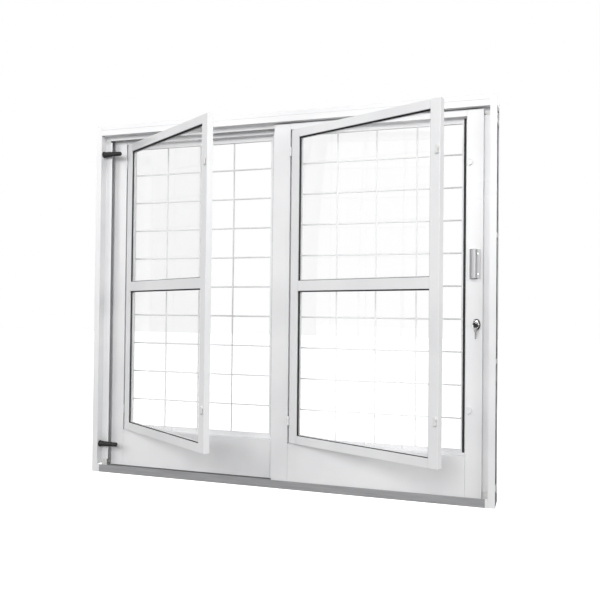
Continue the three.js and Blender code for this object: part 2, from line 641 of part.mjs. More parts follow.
// A key in the plug, turned a little, with the cam on the plug's far end.
function keyAndPlug() {
  const bowY = FRONT_FACE_Y - KEY_HOLE_SETBACK + 3;
  const plugFront = FRONT_FACE_Y - CYLINDER_PROUD;
  const plug = rodY(PLUG_RADIUS, plugFront, FRONT_FACE_Y + PLUG_REACH, LOCK_X, LOCK_Z);
  const cam = box(
    LOCK_X - 3, LOCK_X + 3, FRONT_FACE_Y + 12.5, FRONT_FACE_Y + PLUG_REACH,
    LOCK_Z - 8.2, LOCK_Z);
  const bow = new THREE.Shape();
  bow.absellipse(bowY, LOCK_Z, KEY_BOW_WIDTH / 2, KEY_BOW_HEIGHT / 2, 0, Math.PI * 2, false, 0);
  const hole = new THREE.Path();
  hole.absarc(FRONT_FACE_Y - KEY_HOLE_SETBACK, LOCK_Z, KEY_HOLE_RADIUS, 0, Math.PI * 2, true);
  bow.holes = [hole];
  const neck = box(
    LOCK_X - KEY_HALF, LOCK_X + KEY_HALF, bowY + 8, plugFront + 1, LOCK_Z - 4, LOCK_Z + 4);
  const key = join(alongX(bow, LOCK_X - KEY_HALF, LOCK_X + KEY_HALF, 12), neck)
    .translate(-LOCK_X, 0, -LOCK_Z)
    .rotateY(-THREE.MathUtils.degToRad(KEY_TURNED))
    .translate(LOCK_X, 0, LOCK_Z);
  return join(plug, cam, key);
}

// The spare key hangs on a wire ring through the first key's bow.
function spareKey() {
  const y = FRONT_FACE_Y - KEY_HOLE_SETBACK;
  const ring = new THREE.TorusGeometry(KEY_RING_RADIUS, KEY_RING_WIRE, 8, 24)
    .rotateX(Math.PI / 2).translate(LOCK_X, y, LOCK_Z - KEY_RING_RADIUS);
  const ringBottom = LOCK_Z - 2 * KEY_RING_RADIUS;
  const bow = new THREE.Shape();
  bow.absellipse(y, ringBottom - 6, 8.5, 8, 0, Math.PI * 2, false, 0);
  const blade = box(
    LOCK_X - KEY_HALF, LOCK_X + KEY_HALF, y - 3.5, y + 3.5, SPARE_BLADE_BOTTOM, ringBottom - 12);
  return join(ring, alongX(bow, LOCK_X - KEY_HALF, LOCK_X + KEY_HALF, 12), blade);
}

// A wheel with its axle ends. A shallow groove in the tread sits over the rail.
function roller() {
  const wide = ROLLER_WIDTH / 2;
  const axleEnd = ROLLER_SLOT / 2 - GAP;
  const profile = toPoints([
    [0, -axleEnd], [3, -axleEnd], [3, -wide], [ROLLER_RADIUS + 1, -wide],
    [ROLLER_RADIUS + 1, -wide + 0.8], [ROLLER_RADIUS, -wide + 1.5], [ROLLER_RADIUS, wide - 1.5],
    [ROLLER_RADIUS + 1, wide - 0.8], [ROLLER_RADIUS + 1, wide], [3, wide], [3, axleEnd],
    [0, axleEnd],
  ]);
  return new THREE.LatheGeometry(profile, 24);
}

// ---------------------------------------------------------------- assembly

addMesh('left_jamb', jamb(-1), WHITE);
addMesh('right_jamb', jamb(1), WHITE);
addMesh('header', header(), WHITE);
addMesh('sill', sill(), SILL_WHITE);
for (const [level, z] of Object.entries(BUMPER_HEIGHTS)) {
  addMesh(`${level}_bumper`, bumper(z), BLACK_RUBBER);
}
addMesh('lock_strike', lockStrike(), SATIN);

addPanel('fixed', FIXED_OPENING_X, REAR_FACE_Y, ['jamb', 'meeting']);
addPanel('sliding', SLIDING_OPENING_X, FRONT_FACE_Y, ['meeting', 'jamb']);
addLeaf('left_leaf', FIXED_OPENING_X, REAR_FACE_Y, LEFT_LEAF_OPEN, 'fixed');
addLeaf('right_leaf', SLIDING_OPENING_X, FRONT_FACE_Y, RIGHT_LEAF_OPEN, 'sliding');

addMesh('pull_handle', pullHandle(), SATIN);
addMesh('lock_cylinder', lockCylinder(), CHROME);
addMesh('lock_bolt', lockBolt(), SATIN);
addMesh('key', keyAndPlug(), CHROME);
addMesh('spare_key', spareKey(), CHROME);

ROLLER_INSETS.forEach((inset, index) => {
  const wheel = addMesh(`${['left', 'right'][index]}_roller`, roller(), NYLON);
  const axleZ = TRACK_TOP + GAP + ROLLER_RADIUS;
  wheel.position.set(SLIDING_OPENING_X - MEETING_STILE + inset, TRACK_YS[0], axleZ);
});

export default window_;
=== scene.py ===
"""White two-track aluminium window. Each panel has a rod grille and a glazed leaf that stands open."""

import json
import math
import random

import bmesh
import bpy
from mathutils import Matrix, Vector


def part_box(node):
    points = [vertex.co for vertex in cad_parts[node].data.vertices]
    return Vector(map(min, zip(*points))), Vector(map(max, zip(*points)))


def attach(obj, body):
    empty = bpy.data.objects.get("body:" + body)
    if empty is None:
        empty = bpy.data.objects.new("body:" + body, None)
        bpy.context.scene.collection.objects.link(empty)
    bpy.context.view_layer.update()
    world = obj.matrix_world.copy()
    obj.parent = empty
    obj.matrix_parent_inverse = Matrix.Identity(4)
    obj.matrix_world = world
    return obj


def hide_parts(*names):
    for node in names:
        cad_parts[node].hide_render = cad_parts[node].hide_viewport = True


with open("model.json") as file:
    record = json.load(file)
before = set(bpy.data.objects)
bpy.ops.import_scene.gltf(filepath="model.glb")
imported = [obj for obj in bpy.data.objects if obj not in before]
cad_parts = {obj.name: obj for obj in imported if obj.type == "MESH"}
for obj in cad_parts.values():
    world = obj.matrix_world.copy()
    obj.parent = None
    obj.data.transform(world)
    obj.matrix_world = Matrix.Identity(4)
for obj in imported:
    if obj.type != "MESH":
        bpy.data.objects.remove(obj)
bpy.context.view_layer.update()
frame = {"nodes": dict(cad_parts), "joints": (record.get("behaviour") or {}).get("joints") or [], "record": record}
nodes = frame["nodes"]
joints = {joint["name"]: joint for joint in frame["joints"]}
dice = random.Random(7)

MM = 0.001
# prefix of each panel's nodes: the panel's body, and its leaf's body
PANELS = {"fixed": ("frame", "left_leaf"), "sliding": ("sliding_panel", "right_leaf")}
LEVELS = ("upper", "lower")
# which way the wall lies from each jamb along X
JAMBS = ((-1, "left_jamb"), (1, "right_jamb"))
WHOLE_TURN = 2 * math.pi


# ---------------------------------------------------------------- materials


def blank_material(name, colour, roughness, metallic=0.0):
    """A Principled material with its even values on the shader's own sockets."""
    material = bpy.data.materials.new(name)
    material.use_nodes = True
    shader = material.node_tree.nodes["Principled BSDF"]
    shader.inputs["Base Color"].default_value = (*colour, 1)
    shader.inputs["Roughness"].default_value = roughness
    shader.inputs["Metallic"].default_value = metallic
    return material, material.node_tree, shader


def noise(tree, scale, detail=2.0, stretch=(1, 1, 1)):
    """Noise in the piece's own metres, so it stays put when the piece moves."""
    place = tree.nodes.new("ShaderNodeTexCoord")
    mapping = tree.nodes.new("ShaderNodeMapping")
    mapping.inputs["Scale"].default_value = stretch
    texture = tree.nodes.new("ShaderNodeTexNoise")
    texture.inputs["Scale"].default_value = scale
    texture.inputs["Detail"].default_value = detail
    tree.links.new(place.outputs["Object"], mapping.inputs["Vector"])
    tree.links.new(mapping.outputs["Vector"], texture.inputs["Vector"])
    return texture


def colour_ramp(tree, source, dark, light, start=0.35, end=0.65):
    ramp = tree.nodes.new("ShaderNodeValToRGB")
    first, last = ramp.color_ramp.elements
    first.position, last.position = start, end
    first.color, last.color = (*dark, 1), (*light, 1)
    tree.links.new(source, ramp.inputs["Fac"])
    return ramp.outputs["Color"]


def spread(tree, source, low, high):
    remap = tree.nodes.new("ShaderNodeMapRange")
    remap.inputs["From Min"].default_value = 0.3
    remap.inputs["From Max"].default_value = 0.7
    remap.inputs["To Min"].default_value = low
    remap.inputs["To Max"].default_value = high
    tree.links.new(source, remap.inputs["Value"])
    return remap.outputs["Result"]


def add_bump(tree, shader, source, distance, strength=1.0):
    bump = tree.nodes.new("ShaderNodeBump")
    bump.inputs["Distance"].default_value = distance
    bump.inputs["Strength"].default_value = strength
    tree.links.new(source, bump.inputs["Height"])
    tree.links.new(bump.outputs["Normal"], shader.inputs["Normal"])


def powder_coat():
    """White polyester powder: faint orange peel, and a slow drift in whiteness and gloss."""
    material, tree, shader = blank_material("white_powder_coat", (0.8, 0.8, 0.81), 0.33)
    drift = noise(tree, 5, 3).outputs["Fac"]
    colour = colour_ramp(tree, drift, (0.755, 0.757, 0.768), (0.815, 0.815, 0.822))
    tree.links.new(colour, shader.inputs["Base Color"])
    tree.links.new(spread(tree, drift, 0.27, 0.4), shader.inputs["Roughness"])
    shader.inputs["Coat Weight"].default_value = 0.12
    shader.inputs["Coat Roughness"].default_value = 0.18
    add_bump(tree, shader, noise(tree, 620, 2).outputs["Fac"], 0.00006, 0.5)
    return material


def sill_metal():
    """Duller sill, a darker grey than the white coat, with fine scuffs along its length."""
    material, tree, shader = blank_material("sill_satin", (0.4, 0.4, 0.41), 0.42, 0.25)
    scuffs = noise(tree, 60, 4, (0.12, 4, 4)).outputs["Fac"]
    colour = colour_ramp(tree, scuffs, (0.31, 0.31, 0.32), (0.4, 0.4, 0.41), 0.3, 0.7)
    tree.links.new(colour, shader.inputs["Base Color"])
    tree.links.new(spread(tree, scuffs, 0.36, 0.52), shader.inputs["Roughness"])
    add_bump(tree, shader, noise(tree, 500, 3, (0.1, 2, 2)).outputs["Fac"], 0.00005, 0.6)
    return material


def rubber():
    material, tree, shader = blank_material("black_rubber", (0.012, 0.012, 0.013), 0.62)
    dust = noise(tree, 45, 5).outputs["Fac"]
    colour = colour_ramp(tree, dust, (0.008, 0.008, 0.009), (0.026, 0.026, 0.027))
    tree.links.new(colour, shader.inputs["Base Color"])
    tree.links.new(spread(tree, dust, 0.52, 0.75), shader.inputs["Roughness"])
    add_bump(tree, shader, noise(tree, 1400, 3).outputs["Fac"], 0.0001, 0.6)
    return material


def clear_glass():
    """Float glass, with a trace of unevenness that only its reflections show."""
    material, tree, shader = blank_material("float_glass", (1.0, 1.0, 1.0), 0.0)
    shader.inputs["Transmission Weight"].default_value = 1.0
    shader.inputs["IOR"].default_value = 1.45
    shader.inputs["Alpha"].default_value = 0.14
    add_bump(tree, shader, noise(tree, 3, 1).outputs["Fac"], 0.0001, 0.1)
    return material


def brushed(name, colour, roughness, stretch, metallic=1.0):
    """Metal with fine grinding lines along the axis that has the smallest number in stretch."""
    material, tree, shader = blank_material(name, colour, roughness, metallic)
    grain = noise(tree, 900, 3, stretch).outputs["Fac"]
    darker = tuple(0.82 * part for part in colour)
    tree.links.new(colour_ramp(tree, grain, darker, colour), shader.inputs["Base Color"])
    tree.links.new(spread(tree, grain, roughness * 0.8, roughness * 1.3), shader.inputs["Roughness"])
    add_bump(tree, shader, grain, 0.00003, 0.5)
    return material


def nylon():
    material, tree, shader = blank_material("white_nylon", (0.72, 0.72, 0.71), 0.5)
    mottle = noise(tree, 90, 3).outputs["Fac"]
    colour = colour_ramp(tree, mottle, (0.68, 0.68, 0.665), (0.76, 0.76, 0.75))
    tree.links.new(colour, shader.inputs["Base Color"])
    shader.inputs["Subsurface Weight"].default_value = 0.05
    shader.inputs["Subsurface Radius"].default_value = (0.001, 0.001, 0.001)
    add_bump(tree, shader, noise(tree, 1500, 2).outputs["Fac"], 0.00005, 0.4)
    return material


WHITE = powder_coat()
SILL = sill_metal()
RUBBER = rubber()
GLASS = clear_glass()
SATIN = brushed("satin_metal", (0.56, 0.56, 0.57), 0.5, (1, 1, 0.03), 0.6)
BRIGHT = brushed("nickel_plate", (0.72, 0.72, 0.71), 0.2, (0.2, 1, 1))
NYLON = nylon()
SLOT_MATERIALS = {
    "white_coat": WHITE,
    "sill_coat": SILL,
    "black_rubber": RUBBER,
    "glass": GLASS,
    "satin_metal": SATIN,
    "bright_metal": BRIGHT,
    "white_nylon": NYLON,
}


# ---------------------------------------------------------------- mesh helpers


def add_loops(bm, loops, closed=False):
    """Joins rings of points with faces. A ring of one point is a tip."""
    rings = [[bm.verts.new(point) for point in loop] for loop in loops]
    pairs = list(zip(rings, rings[1:]))
    if closed:
        pairs.append((rings[-1], rings[0]))
    for low, high in pairs:
        count = max(len(low), len(high))
        for i in range(count):
            j = (i + 1) % count
            corners = [low[i % len(low)], low[j % len(low)], high[j % len(high)], high[i % len(high)]]
            bm.faces.new(list(dict.fromkeys(corners)))
    return rings


def along_y(u, v, w):
    """Places an outline drawn in x and z, run along y."""
    return (u, w, v)


def along_z(u, v, w):
    """Places an outline drawn in x and y, run along z."""
    return (u, v, w)


def add_prism(bm, outline, place, start, end):
    """A solid with a flat outline, run from start to end. place(u, v, w) gives a point."""
    rings = add_loops(bm, [[place(u, v, w) for u, v in outline] for w in (start, end)])
    bm.faces.new(rings[0])
    bm.faces.new(rings[1])


def rectangle(u0, u1, v0, v1):
    return [(u0, v0), (u1, v0), (u1, v1), (u0, v1)]


def add_box(bm, low, high):
    (x0, x1), (y0, y1), (z0, z1) = zip(low, high)
    add_prism(bm, rectangle(x0, x1, y0, y1), along_z, z0, z1)


def add_lathe(bm, profile, place, steps=32):
    """Turns (radius, height) points round an axis. place(x, y, height) gives a point."""
    loops = []
    for radius, height in profile:
        if radius == 0:
            loops.append([place(0, 0, height)])
            continue
        angles = [WHOLE_TURN * i / steps for i in range(steps)]
        loops.append([place(radius * math.cos(a), radius * math.sin(a), height) for a in angles])
    add_loops(bm, loops)


def add_tube(bm, points, radius, side, steps=12, closed=False):
    """A round bar along the points. side is a direction that no part of the bar runs along."""
    points = [Vector(point) for point in points]
    loops = []
    for i, point in enumerate(points):
        after = points[(i + 1) % len(points)] if closed or i + 1 < len(points) else point
        before = points[i - 1] if closed or i else point
        along = (after - before).normalized()
        first = along.cross(Vector(side)).normalized()
        second = along.cross(first)
        angles = [WHOLE_TURN * step / steps for step in range(steps)]
        loops.append([point + radius * (math.cos(a) * first + math.sin(a) * second) for a in angles])
    rings = add_loops(bm, loops, closed)
    if not closed:
        bm.faces.new(rings[0])
        bm.faces.new(rings[-1])


def add_ring_sweep(bm, low, high, profile, foot=1.0):
    """Runs a closed (inset, depth) profile round an upright rectangle with mitred corners.
    foot makes the bottom side's inset smaller."""
    loops = []
    for inset, y in profile:
        x0, x1 = low.x + inset, high.x - inset
        z0, z1 = low.z + foot * inset, high.z - inset
        loops.append([(x0, y, z0), (x1, y, z0), (x1, y, z1), (x0, y, z1)])
    add_loops(bm, loops, closed=True)


def add_blob(bm, centre, size):
    """A small rounded bead of weld."""
    matrix = Matrix.Translation(centre) @ Matrix.Diagonal((*size, 1))
    bmesh.ops.create_icosphere(bm, subdivisions=2, radius=1, matrix=matrix)


def ellipse(u, v, radius_u, radius_v, start=0.0, turn=WHOLE_TURN, steps=32):
    """Points on an oval; the last is left off where the turn is a whole one."""
    count = steps if turn == WHOLE_TURN else steps + 1
    angles = [start + turn * i / steps for i in range(count)]
    return [(u + radius_u * math.cos(a), v + radius_v * math.sin(a)) for a in angles]


def curve(start, control, end, steps=10):
    """Points on a quadratic curve."""
    points = []
    for i in range(steps + 1):
        t = i / steps
        weighted = list(zip(((1 - t) ** 2, 2 * t * (1 - t), t ** 2), (start, control, end)))
        points.append(tuple(sum(weight * point[k] for weight, point in weighted) for k in (0, 1)))
    return points


def make_piece(name, bm, material, body, matrix=None, edge=None, smooth=35):
    """Turns a bmesh into a piece that rides on a body, with soft edges if edge is given."""
    bmesh.ops.recalc_face_normals(bm, faces=bm.faces)
    mesh = bpy.data.meshes.new(name)
    bm.to_mesh(mesh)
    bm.free()
    if matrix:
        mesh.transform(matrix)
    mesh.materials.append(material)
    for face in mesh.polygons:
        face.use_smooth = True
    mesh.set_sharp_from_angle(angle=math.radians(smooth))
    piece = bpy.data.objects.new(name, mesh)
    bpy.context.scene.collection.objects.link(piece)
    if edge:
        soften(piece, edge)
    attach(piece, body)
    return piece


def soften(piece, width, segments=2):
    bevel = piece.modifiers.new("soft_edges", "BEVEL")
    bevel.width = width
    bevel.segments = segments
    bevel.limit_method = "ANGLE"
    bevel.angle_limit = math.radians(35)
    bevel.use_clamp_overlap = True


def local_box(node, matrix):
    """A CAD node's box in the frame that matrix places in the model."""
    back = matrix.inverted()
    points = [back @ vertex.co for vertex in nodes[node].data.vertices]
    low = Vector([min(point[k] for point in points) for k in range(3)])
    high = Vector([max(point[k] for point in points) for k in range(3)])
    return low, high


def leaf_matrix(leaf):
    """The frame a leaf is drawn in: its hinge axis at x = y = 0, the leaf along +X when shut."""
    joint = joints[f"{leaf}_hinge"]
    shut = joint["range_deg"][0]
    x, y, _ = joint["pos_m"]
    return Matrix.Translation((x, y, 0)) @ Matrix.Rotation(math.radians(shut), 4, "Z")


# ---------------------------------------------------------------- carried-over CAD nodes


def dress_cad_nodes():
    """Gives every CAD node its material, and eases the edges of the metal sections."""
    for subpart in frame["record"]["subparts"]:
        name, slot = subpart["node"], subpart["material_slot"]
        node = nodes[name]
        node.data.materials.clear()
        node.data.materials.append(SLOT_MATERIALS[slot])
        if slot in ("glass", "black_rubber"):
            continue
        weld = node.modifiers.new("weld", "WELD")
        weld.merge_threshold = 0.01 * MM
        small = name.endswith(("_roller", "_bolt", "_strike"))
        soften(node, 0.3 * MM if small else 0.7 * MM)


# ---------------------------------------------------------------- grilles

ROD_RADIUS = 2.4 * MM
COLUMN_PITCH = 126 * MM
COLUMNS = 3
ROW_PITCH = 98.6 * MM
ROWS = 9
ROD_WAVE = 0.35 * MM
BEAD = 1.5 * MM


def rod_path(start, end, wave, steps=24):
    """A nearly straight rod that wanders sideways a little, as hand-welded ones do."""
    phase = dice.uniform(0, 6)
    turns = dice.uniform(0.7, 1.6)
    points = []
    for i in range(steps + 1):
        t = i / steps
        sway = ROD_WAVE * math.sin(phase + turns * WHOLE_TURN * t) * math.sin(math.pi * t)
        points.append(Vector(start).lerp(Vector(end), t) + sway * Vector(wave))
    return points


def make_grille(prefix, body):
    node = f"{prefix}_grille"
    low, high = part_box(node)
    mid = (low + high) / 2
    front_y, back_y = low.y + ROD_RADIUS, high.y - ROD_RADIUS
    columns = [mid.x + (i - (COLUMNS - 1) / 2) * COLUMN_PITCH for i in range(COLUMNS)]
    rows = [mid.z + (i - (ROWS - 1) / 2) * ROW_PITCH for i in range(ROWS)]
    bm = bmesh.new()
    for x in columns:
        ends = ((x, front_y, low.z), (x, front_y, high.z))
        add_tube(bm, rod_path(*ends, (1, 0, 0)), ROD_RADIUS, (1, 0, 0))
    for z in rows:
        ends = ((low.x, back_y, z), (high.x, back_y, z))
        add_tube(bm, rod_path(*ends, (0, 0, 1)), ROD_RADIUS, (0, 0, 1))
    for x in columns:
        for z in rows:
            for side in (-1, 1):
                centre = (x + side * 0.8 * ROD_RADIUS, mid.y, z - side * 0.6 * ROD_RADIUS)
                add_blob(bm, centre, (BEAD, 1.2 * BEAD, BEAD * dice.uniform(0.9, 1.4)))
    for z in rows:
        for x, side in ((low.x, 1), (high.x, -1)):
            add_blob(bm, (x + side * BEAD, back_y, z), (1.2 * BEAD, 2 * BEAD, 2.1 * BEAD))
    for x in columns:
        for z, side in ((low.z, 1), (high.z, -1)):
            add_blob(bm, (x, front_y, z + side * BEAD), (2.1 * BEAD, 2 * BEAD, 1.2 * BEAD))
    piece = make_piece(f"{prefix}_rods", bm, WHITE, body)
    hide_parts(node)


# ---------------------------------------------------------------- glazing and seals

GLASS_CLEARANCE = 0.2 * MM
WEDGE_FOOT = 0.45
SEAL_FOOT = 0.7 * MM
SEAL_RISE = 5 * MM


def make_glazing(leaf, level):
    """A black wedge gasket in front of the glass and a white bead that holds it from behind."""
    matrix = leaf_matrix(leaf)
    node = f"{leaf}_{level}_gasket"
    low, high = local_box(node, matrix)
    glass_low, glass_high = local_box(f"{leaf}_{level}_glass", matrix)
    front = glass_low.y - GLASS_CLEARANCE
    wedge = [
        (0, front),
        (0, front - 4.6 * MM),
        (1.2 * MM, front - 5.0 * MM),
        (2.2 * MM, front - 4.0 * MM),
        (3.4 * MM, front - 0.5 * MM),
        (3.0 * MM, front),
    ]
    bm = bmesh.new()
    add_ring_sweep(bm, low, high, wedge, WEDGE_FOOT)
    gasket = make_piece(f"{leaf}_{level}_wedge", bm, RUBBER, leaf, matrix, smooth=50)
    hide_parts(node)
    back = glass_high.y + GLASS_CLEARANCE
    bead = [
        (0, back),
        (3.3 * MM, back),
        (3.7 * MM, back + 1.2 * MM),
        (2.6 * MM, high.y - 1.0 * MM),
        (1.6 * MM, high.y),
        (0, high.y),
    ]
    bm = bmesh.new()
    add_ring_sweep(bm, low, high, bead)
    make_piece(f"{leaf}_{level}_glazing_bead", bm, WHITE, leaf, matrix)


def make_seal(prefix, body):
    """A rubber bulb on a flat foot, in the rebate on the leaf's free side."""
    node = f"{prefix}_leaf_seal"
    low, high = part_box(node)
    foot = high.y - SEAL_FOOT
    mid = (low.x + high.x) / 2
    half = (high.x - low.x) / 2
    bulb = ellipse(mid, foot, half * 0.82, foot - low.y, math.pi, math.pi, 12)
    outline = [(low.x, foot), *bulb[1:-1], (high.x, foot), (high.x, high.y), (low.x, high.y)]
    bm = bmesh.new()
    add_prism(bm, outline, along_z, low.z + SEAL_RISE, high.z)
    piece = make_piece(f"{prefix}_bulb_seal", bm, RUBBER, body, smooth=50)
    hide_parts(node)


# ---------------------------------------------------------------- brush, painted shade strips, lugs and end pieces

BRUSH_HALF = 3 * MM
BRUSH_FOOT = 0.8 * MM
BRUSH_END_GAP = 20 * MM
BRUSH_REACH = 4 * MM
BRUSH_CLEARANCE = 6 * MM
TUFTS = 150
TUFT_HALF = 1.7 * MM
# painted shade: the dark strip in each jamb channel stands in for the shadow inside the open channel
SHADE_STRIP_DEPTH = 9 * MM
SHADE_STRIP_SET_BACK = 3.2 * MM
SHADE_STRIP_STEPS = 60
LUG_HEIGHTS = (49 * MM, 421 * MM, 793 * MM, 1130 * MM)
LUG_HALF_HEIGHT = 7 * MM
FIN_TIP_IN = 38 * MM
WEB_IN = 20.3 * MM
FIN_FOOT_HEIGHTS = ((18.4 * MM, 39.7 * MM), (1148.3 * MM, 1154.7 * MM))
FIN_FOOT_HALF = 3 * MM
SILL_CAP_WIDTH = 8 * MM


def make_brush():
    """A strip of pile on the back of the sliding meeting stile, which closes the gap there."""
    low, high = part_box("sliding_meeting_stile")
    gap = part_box("fixed_meeting_stile")[0].y - high.y
    reach = min(gap - BRUSH_CLEARANCE, BRUSH_REACH)
    mid = (low.x + high.x) / 2
    z0, z1 = low.z + BRUSH_END_GAP, high.z - BRUSH_END_GAP
    pitch = (z1 - z0) / TUFTS
    root_y = high.y + 0.75 * BRUSH_FOOT
    bm = bmesh.new()
    add_box(bm, (mid - BRUSH_HALF, high.y, z0), (mid + BRUSH_HALF, high.y + BRUSH_FOOT, z1))
    for i in range(TUFTS):
        z = z0 + pitch * (i + 0.5)
        lean = dice.uniform(-0.7, 0.7) * MM
        tip_y = high.y + reach * dice.uniform(0.9, 1.0)
        foot = rectangle(mid - TUFT_HALF, mid + TUFT_HALF, z - 0.48 * pitch, z + 0.48 * pitch)
        root = [(u, root_y, v) for u, v in foot]
        tip = [((u + mid) / 2 + lean, tip_y, v) for u, v in foot]
        rings = add_loops(bm, [root, tip])
        bm.faces.new(rings[0])
        bm.faces.new(rings[1])
    make_piece("meeting_stile_brush", bm, RUBBER, "sliding_panel")


def jamb_and_wall(side, name):
    """A jamb's box, and the x of its side against the wall."""
    low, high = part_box(name)
    return low, high, high.x if side > 0 else low.x


def make_jamb_shade_strips():
    """A dark strip against the wall inside each jamb channel: painted shade for the channel's shadowed inside,
    which shows as a line at its edge.
    """
    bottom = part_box("sill")[0].z + 27 * MM
    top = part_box("header")[0].z - 2 * MM
    for side, name in JAMBS:
        low, high, wall = jamb_and_wall(side, name)
        inside = wall - side * SHADE_STRIP_DEPTH
        y0, y1 = low.y + 2.7 * MM, high.y - 2.7 * MM
        rows = []
        for i in range(SHADE_STRIP_STEPS + 1):
            z = bottom + (top - bottom) * i / SHADE_STRIP_STEPS
            wobble = 0.35 * MM * math.sin(i * 0.9) + 0.2 * MM * math.sin(i * 2.3)
            outside = wall - side * (SHADE_STRIP_SET_BACK - wobble)
            rows.append([(inside, y0, z), (outside, y0, z), (outside, y1, z), (inside, y1, z)])
        bm = bmesh.new()
        rings = add_loops(bm, rows)
        bm.faces.new(rings[0])
        bm.faces.new(rings[-1])
        # painted shade: a dark strip where the channel's inside is in shadow
        make_piece(f"{name}_painted_shade_strip", bm, RUBBER, "frame")


def make_fixing_lugs():
    """Lugs across each jamb's open side, which the wall screws pull on."""
    for side, name in JAMBS:
        low, high, wall = jamb_and_wall(side, name)
        x0, x1 = sorted((wall - side * 2.6 * MM, wall - side * 0.4 * MM))
        y0, y1 = low.y + 2.8 * MM, high.y - 2.8 * MM
        bm = bmesh.new()
        for z in LUG_HEIGHTS:
            add_box(bm, (x0, y0, z - LUG_HALF_HEIGHT), (x1, y1, z + LUG_HALF_HEIGHT))
        make_piece(f"{name}_fixing_lugs", bm, WHITE, "frame", edge=0.5 * MM)


def make_corner_pieces():
    """Plastic feet that close each fin's two ends, and caps over the sill's two front ends."""
    sill_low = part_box("sill")[0]
    feet = bmesh.new()
    caps = bmesh.new()
    for side, jamb in JAMBS:
        wall = jamb_and_wall(side, jamb)[2]
        web = wall - side * WEB_IN
        x0, x1 = sorted((wall - side * FIN_TIP_IN, web))
        for rail in ("sliding_bottom_rail", "fixed_bottom_rail"):
            rail_low, rail_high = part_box(rail)
            y = (rail_low.y + rail_high.y) / 2
            for z0, z1 in FIN_FOOT_HEIGHTS:
                add_box(feet, (x0, y - FIN_FOOT_HALF, z0), (x1, y + FIN_FOOT_HALF, z1))
        x0, x1 = sorted((web, web - side * SILL_CAP_WIDTH))
        y0, y1 = sill_low.y - 0.6 * MM, sill_low.y + 2.2 * MM
        add_box(caps, (x0, y0, 0.2 * MM), (x1, y1, 25.8 * MM))
    make_piece("fin_feet", feet, NYLON, "frame", edge=0.5 * MM)
    make_piece("sill_end_caps", caps, WHITE, "frame", edge=0.4 * MM)


# ---------------------------------------------------------------- hinges, catches and keepers

HINGE_GAP = 0.3 * MM
BARREL_RADIUS = 4 * MM
BARREL_RIM = 0.7 * MM
CATCH_HALF = 4.5 * MM
CATCH_PIVOT_DROP = 6 * MM
CATCH_THICKNESS = 3 * MM
CATCH_STANDOFF = 2.6 * MM
CATCH_WAIST = 2.48 * MM
KEEPER_PLATE = 2 * MM
KEEPER_WALL = 1.2 * MM


def make_hinge_half(node, name, body, matrix, upper):
    """Half of a butt hinge: a barrel with chamfered rims, a curled neck and a flat wing."""
    low, high = local_box(node, matrix)
    mid = (low.z + high.z) / 2
    z0, z1 = (mid + HINGE_GAP / 2, high.z) if upper else (low.z, mid - HINGE_GAP / 2)
    profile = [
        (0, z0),
        (BARREL_RADIUS - BARREL_RIM, z0),
        (BARREL_RADIUS, z0 + BARREL_RIM),
        (BARREL_RADIUS, z1 - BARREL_RIM),
        (BARREL_RADIUS - BARREL_RIM, z1),
        (0, z1),
    ]
    bm = bmesh.new()
    add_lathe(bm, profile, along_z)
    side = 1 if upper else -1
    x0, x1 = sorted((side * 0.4 * MM, side * 1.7 * MM))
    add_box(bm, (x0, 4.6 * MM, low.z), (x1, high.y, high.z))
    add_box(bm, (x0, 1 * MM, z0), (x1, 5 * MM, z1))
    piece = make_piece(name, bm, WHITE, body, matrix, smooth=40)
    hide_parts(node)


def make_hinges(prefix, body, leaf):
    """The panel's halves are drawn in the same place as the leaf's, but don't turn with it."""
    turned = leaf_matrix(leaf)
    still = Matrix.Translation(turned.to_translation())
    for level in LEVELS:
        make_hinge_half(
            f"{prefix}_{level}_hinge_pin", f"{prefix}_{level}_hinge_half", body, still, False)
        make_hinge_half(
            f"{leaf}_{level}_hinge_knuckle", f"{leaf}_{level}_hinge_half", leaf, turned, True)


def make_catch(leaf, level):
    """A turn catch: a waisted arm on a pivot boss, with a thumb curl at its lower end."""
    node = f"{leaf}_{level}_catch"
    matrix = leaf_matrix(leaf)
    low, high = local_box(node, matrix)
    x = (low.x + high.x) / 2
    z = high.z - CATCH_PIVOT_DROP
    back = high.y - CATCH_STANDOFF
    front = back - CATCH_THICKNESS
    half = CATCH_HALF
    shoulder, waist_z, arm_end = z + 1 * MM, z - 7 * MM, low.z + half
    right = curve((x + half, shoulder), (x + CATCH_WAIST, waist_z), (x + half, arm_end), 8)
    left = curve((x - half, arm_end), (x - CATCH_WAIST, waist_z), (x - half, shoulder), 8)
    foot = ellipse(x, arm_end, half, half, 0, -math.pi, 10)
    head = ellipse(x, shoulder, half, high.z - shoulder, math.pi, -math.pi, 10)
    outline = [*right[:-1], *foot[:-1], *left[:-1], *head[:-1]]
    boss_front = back + 0.2 * MM
    boss = [(0, high.y), (5.4 * MM, high.y), (5.0 * MM, boss_front), (0, boss_front)]
    bm = bmesh.new()
    add_prism(bm, outline, along_y, front, back)
    add_lathe(bm, boss, lambda a, b, h: (x + a, h, z + b))
    curl_half = 0.7 * half
    add_box(bm, (x - curl_half, front, low.z + 0.6 * MM), (x + curl_half, front + 1 * MM, low.z + 3 * MM))
    piece = make_piece(
        f"{leaf}_{level}_turn_catch", bm, NYLON, node, matrix, edge=0.5 * MM)
    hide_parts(node)


